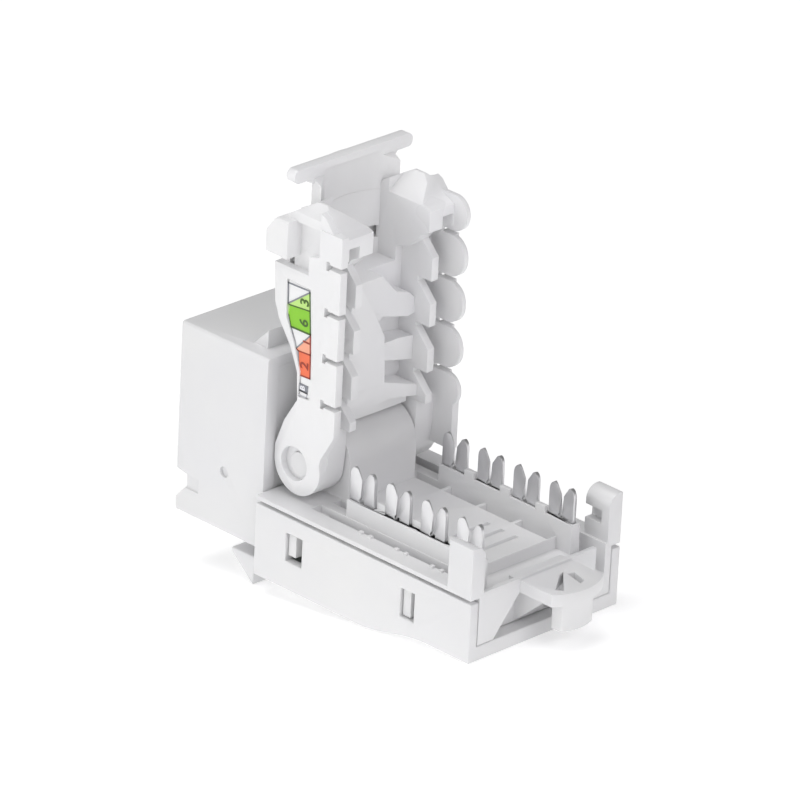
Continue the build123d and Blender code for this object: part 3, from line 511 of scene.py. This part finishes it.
# %% Ink colours
ink_dark, ink_light = 0.94, 1.05


def ink(name, colour):
    """A flat printed colour with a trace of mottle."""
    dark = [c * ink_dark for c in colour]
    light = [min(1.0, c * ink_light) for c in colour]
    material, tree, shader = new_material(name)
    place = add_node(tree, "ShaderNodeTexCoord")
    mottle = add_node(tree, "ShaderNodeTexNoise", Scale=1500.0, Detail=2.0, Roughness=0.5)
    tree.links.new(place.outputs["Object"], mottle.inputs["Vector"])
    shade = add_node(tree, "ShaderNodeValToRGB")
    shade.color_ramp.elements[0].color = (*dark, 1)
    shade.color_ramp.elements[1].color = (*light, 1)
    tree.links.new(mottle.outputs["Fac"], shade.inputs["Fac"])
    tree.links.new(shade.outputs["Color"], shader.inputs["Base Color"])
    shader.inputs["Roughness"].default_value = 0.45
    return material


inks = {
    "green": ink("ink_green", (0.24, 0.58, 0.02)),
    "pale_green": ink("ink_pale_green", (0.52, 0.78, 0.22)),
    "orange": ink("ink_orange", (0.86, 0.17, 0.07)),
    "pale_orange": ink("ink_pale_orange", (0.90, 0.40, 0.26)),
    "blue": ink("ink_blue", (0.05, 0.20, 0.62)),
    "pale_blue": ink("ink_pale_blue", (0.35, 0.52, 0.82)),
    "brown": ink("ink_brown", (0.22, 0.09, 0.04)),
    "pale_brown": ink("ink_pale_brown", (0.48, 0.32, 0.22)),
    "grey": ink("ink_grey", (0.24, 0.25, 0.28)),
    "pale_grey": ink("ink_pale_grey", (0.55, 0.56, 0.60)),
    "dark_green": ink("ink_dark_green", (0.055, 0.13, 0.01)),
    "dark_orange": ink("ink_dark_red", (0.33, 0.035, 0.015)),
    "dark_blue": ink("ink_dark_blue", (0.02, 0.05, 0.2)),
    "dark_brown": ink("ink_dark_brown", (0.06, 0.025, 0.01)),
    "paper": ink("ink_paper", (0.80, 0.80, 0.84)),
}
ink_order = list(inks)
print(len(inks), "inks")


# %% [markdown]
# ### Drawing on the label
# The label lies in a plane across X, so a drawing is made of (y, z) points in millimetres. Lines are narrow
# quads, and the digits come from text curves turned a quarter, since the label is read with the cap closed.

# %% Sheets of ink
label_face = 6.17
ink_layer = 0.008
line_level, text_level = 3, 4
text_scale, text_weight = 1.35, 0.03


class Sheet:
    """A drawing that gathers flat shapes for one side of the cap."""

    def __init__(self, side):
        self.side = side
        self.mesh = bmesh.new()

    def shape(self, points, colour, level):
        """A filled outline at a number of ink layers above the label."""
        x = self.side * (label_face + ink_layer * level) * MM
        corners = [self.mesh.verts.new((x, y * MM, z * MM)) for y, z in points]
        face = self.mesh.faces.new(corners)
        face.material_index = ink_order.index(colour)

    def line(self, start, end, width, colour):
        """A narrow quad from one point to another, a little longer than the line."""
        along = Vector((end[0] - start[0], end[1] - start[1])).normalized() * (width / 2)
        across = Vector((-along.y, along.x))
        a, b = Vector(start) - along, Vector(end) + along
        self.shape([a - across, b - across, b + across, a + across], colour, line_level)

    def text(self, words, middle, height, colour):
        """A letter or digit turned a quarter around its middle."""
        curve = bpy.data.curves.new("glyph", "FONT")
        curve.body = words
        curve.align_x = "CENTER"
        curve.align_y = "CENTER"
        curve.resolution_u = 3
        curve.size = height * text_scale
        curve.offset = text_weight
        glyph = bpy.data.objects.new("glyph", curve)
        flat = bpy.data.meshes.new_from_object(glyph)
        x = self.side * (label_face + ink_layer * text_level) * MM
        places = []
        for point in flat.vertices:
            y = middle[0] - point.co.y
            z = middle[1] + self.side * point.co.x
            places.append(self.mesh.verts.new((x, y * MM, z * MM)))
        for polygon in flat.polygons:
            face = self.mesh.faces.new([places[i] for i in polygon.vertices])
            face.material_index = ink_order.index(colour)
        bpy.data.objects.remove(glyph)
        bpy.data.curves.remove(curve)
        bpy.data.meshes.remove(flat)

    def finish(self, name):
        """The drawing as one piece of the cap, with every sheet facing outward."""
        for face in self.mesh.faces:
            face.normal_update()
            if face.normal.x * self.side < 0:
                face.normal_flip()
        data = bpy.data.meshes.new(name)
        self.mesh.to_mesh(data)
        self.mesh.free()
        for key in ink_order:
            data.materials.append(inks[key])
        piece = bpy.data.objects.new(name, data)
        bpy.context.scene.collection.objects.link(piece)
        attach(piece, "cap")
        print(name, len(data.polygons), "faces")


# %% Cells, lines and digits of both labels
def wiring_label(name, side, upper, lower, digits):
    """Two pairs in cells from top to bottom: half white, solid, half white, solid, then the code letter."""
    sheet = Sheet(side)
    top_back, top_front = (10.25, 22.95), (12.52, 23.02)
    split_back, split_front = (10.28, 21.25), (12.56, 22.9)
    first_back, first_front = (10.42, 21.2), (12.62, 21.4)
    second_bend, second_back, second_front = (10.4, 20.4), (10.72, 19.48), (12.8, 19.52)
    third_back, third_front = (11.35, 17.9), (12.74, 19.36)
    fourth_back, fourth_front = (11.6, 17.78), (12.9, 17.86)
    fifth_back, fifth_front = (11.84, 15.86), (12.96, 15.92)
    upper_dark, lower_dark = "dark_" + upper, "dark_" + lower
    sheet.shape([split_back, split_front, first_front, first_back], "pale_" + upper, 1)
    sheet.shape([first_back, first_front, second_front, second_back, second_bend], upper, 1)
    sheet.shape([third_back, third_front, fourth_front, fourth_back], "pale_" + lower, 1)
    sheet.shape([fourth_back, fourth_front, fifth_front, fifth_back], lower, 1)
    for start, end in (
        (top_back, top_front),
        (top_back, split_back),
        (split_back, split_front),
    ):
        sheet.line(start, end, 0.13, "grey")
    sheet.line(first_back, first_front, 0.11, upper_dark)
    sheet.line(second_back, second_front, 0.16, upper_dark)
    sheet.line(split_front, second_front, 0.13, upper_dark)
    sheet.line(split_back, second_bend, 0.09, "pale_" + upper)
    sheet.line(second_bend, second_back, 0.09, upper_dark)
    sheet.line(second_back, third_back, 0.09, "grey")
    sheet.line(third_back, third_front, 0.12, "grey")
    sheet.line(second_front, fourth_front, 0.14, lower_dark)
    sheet.line(fourth_back, fourth_front, 0.12, lower_dark)
    sheet.line(third_back, fourth_back, 0.1, lower_dark)
    sheet.line(fourth_front, fifth_front, 0.13, lower_dark)
    sheet.line(fourth_back, fifth_back, 0.09, "grey")
    sheet.line(fifth_back, fifth_front, 0.13, lower_dark)
    cell = [(11.76, 15.2), (12.78, 15.2), (12.74, 14.6), (11.72, 14.6)]
    end_cell = [(11.72, 14.6), (12.74, 14.6), (12.66, 14.22), (11.72, 14.26)]
    sheet.shape(cell, "grey", 1)
    for i in range(4):
        sheet.line(cell[i], cell[(i + 1) % 4], 0.1, "grey")
        sheet.line(end_cell[i], end_cell[(i + 1) % 4], 0.1, "pale_grey")
    places = [(12.1, 21.95), (12.1, 20.25), (12.45, 18.75), (12.35, 16.8)]
    heights = [0.95, 0.95, 0.7, 0.9]
    colours = [upper_dark, upper_dark, lower_dark, lower_dark]
    for digit, place, height, colour in zip(digits, places, heights, colours):
        sheet.text(digit, place, height, colour)
    sheet.text("B", (12.25, 14.9), 0.5, "paper")
    sheet.finish(name)


wiring_label("near_print", 1, "green", "orange", "3612")
wiring_label("far_print", -1, "blue", "brown", "5478")
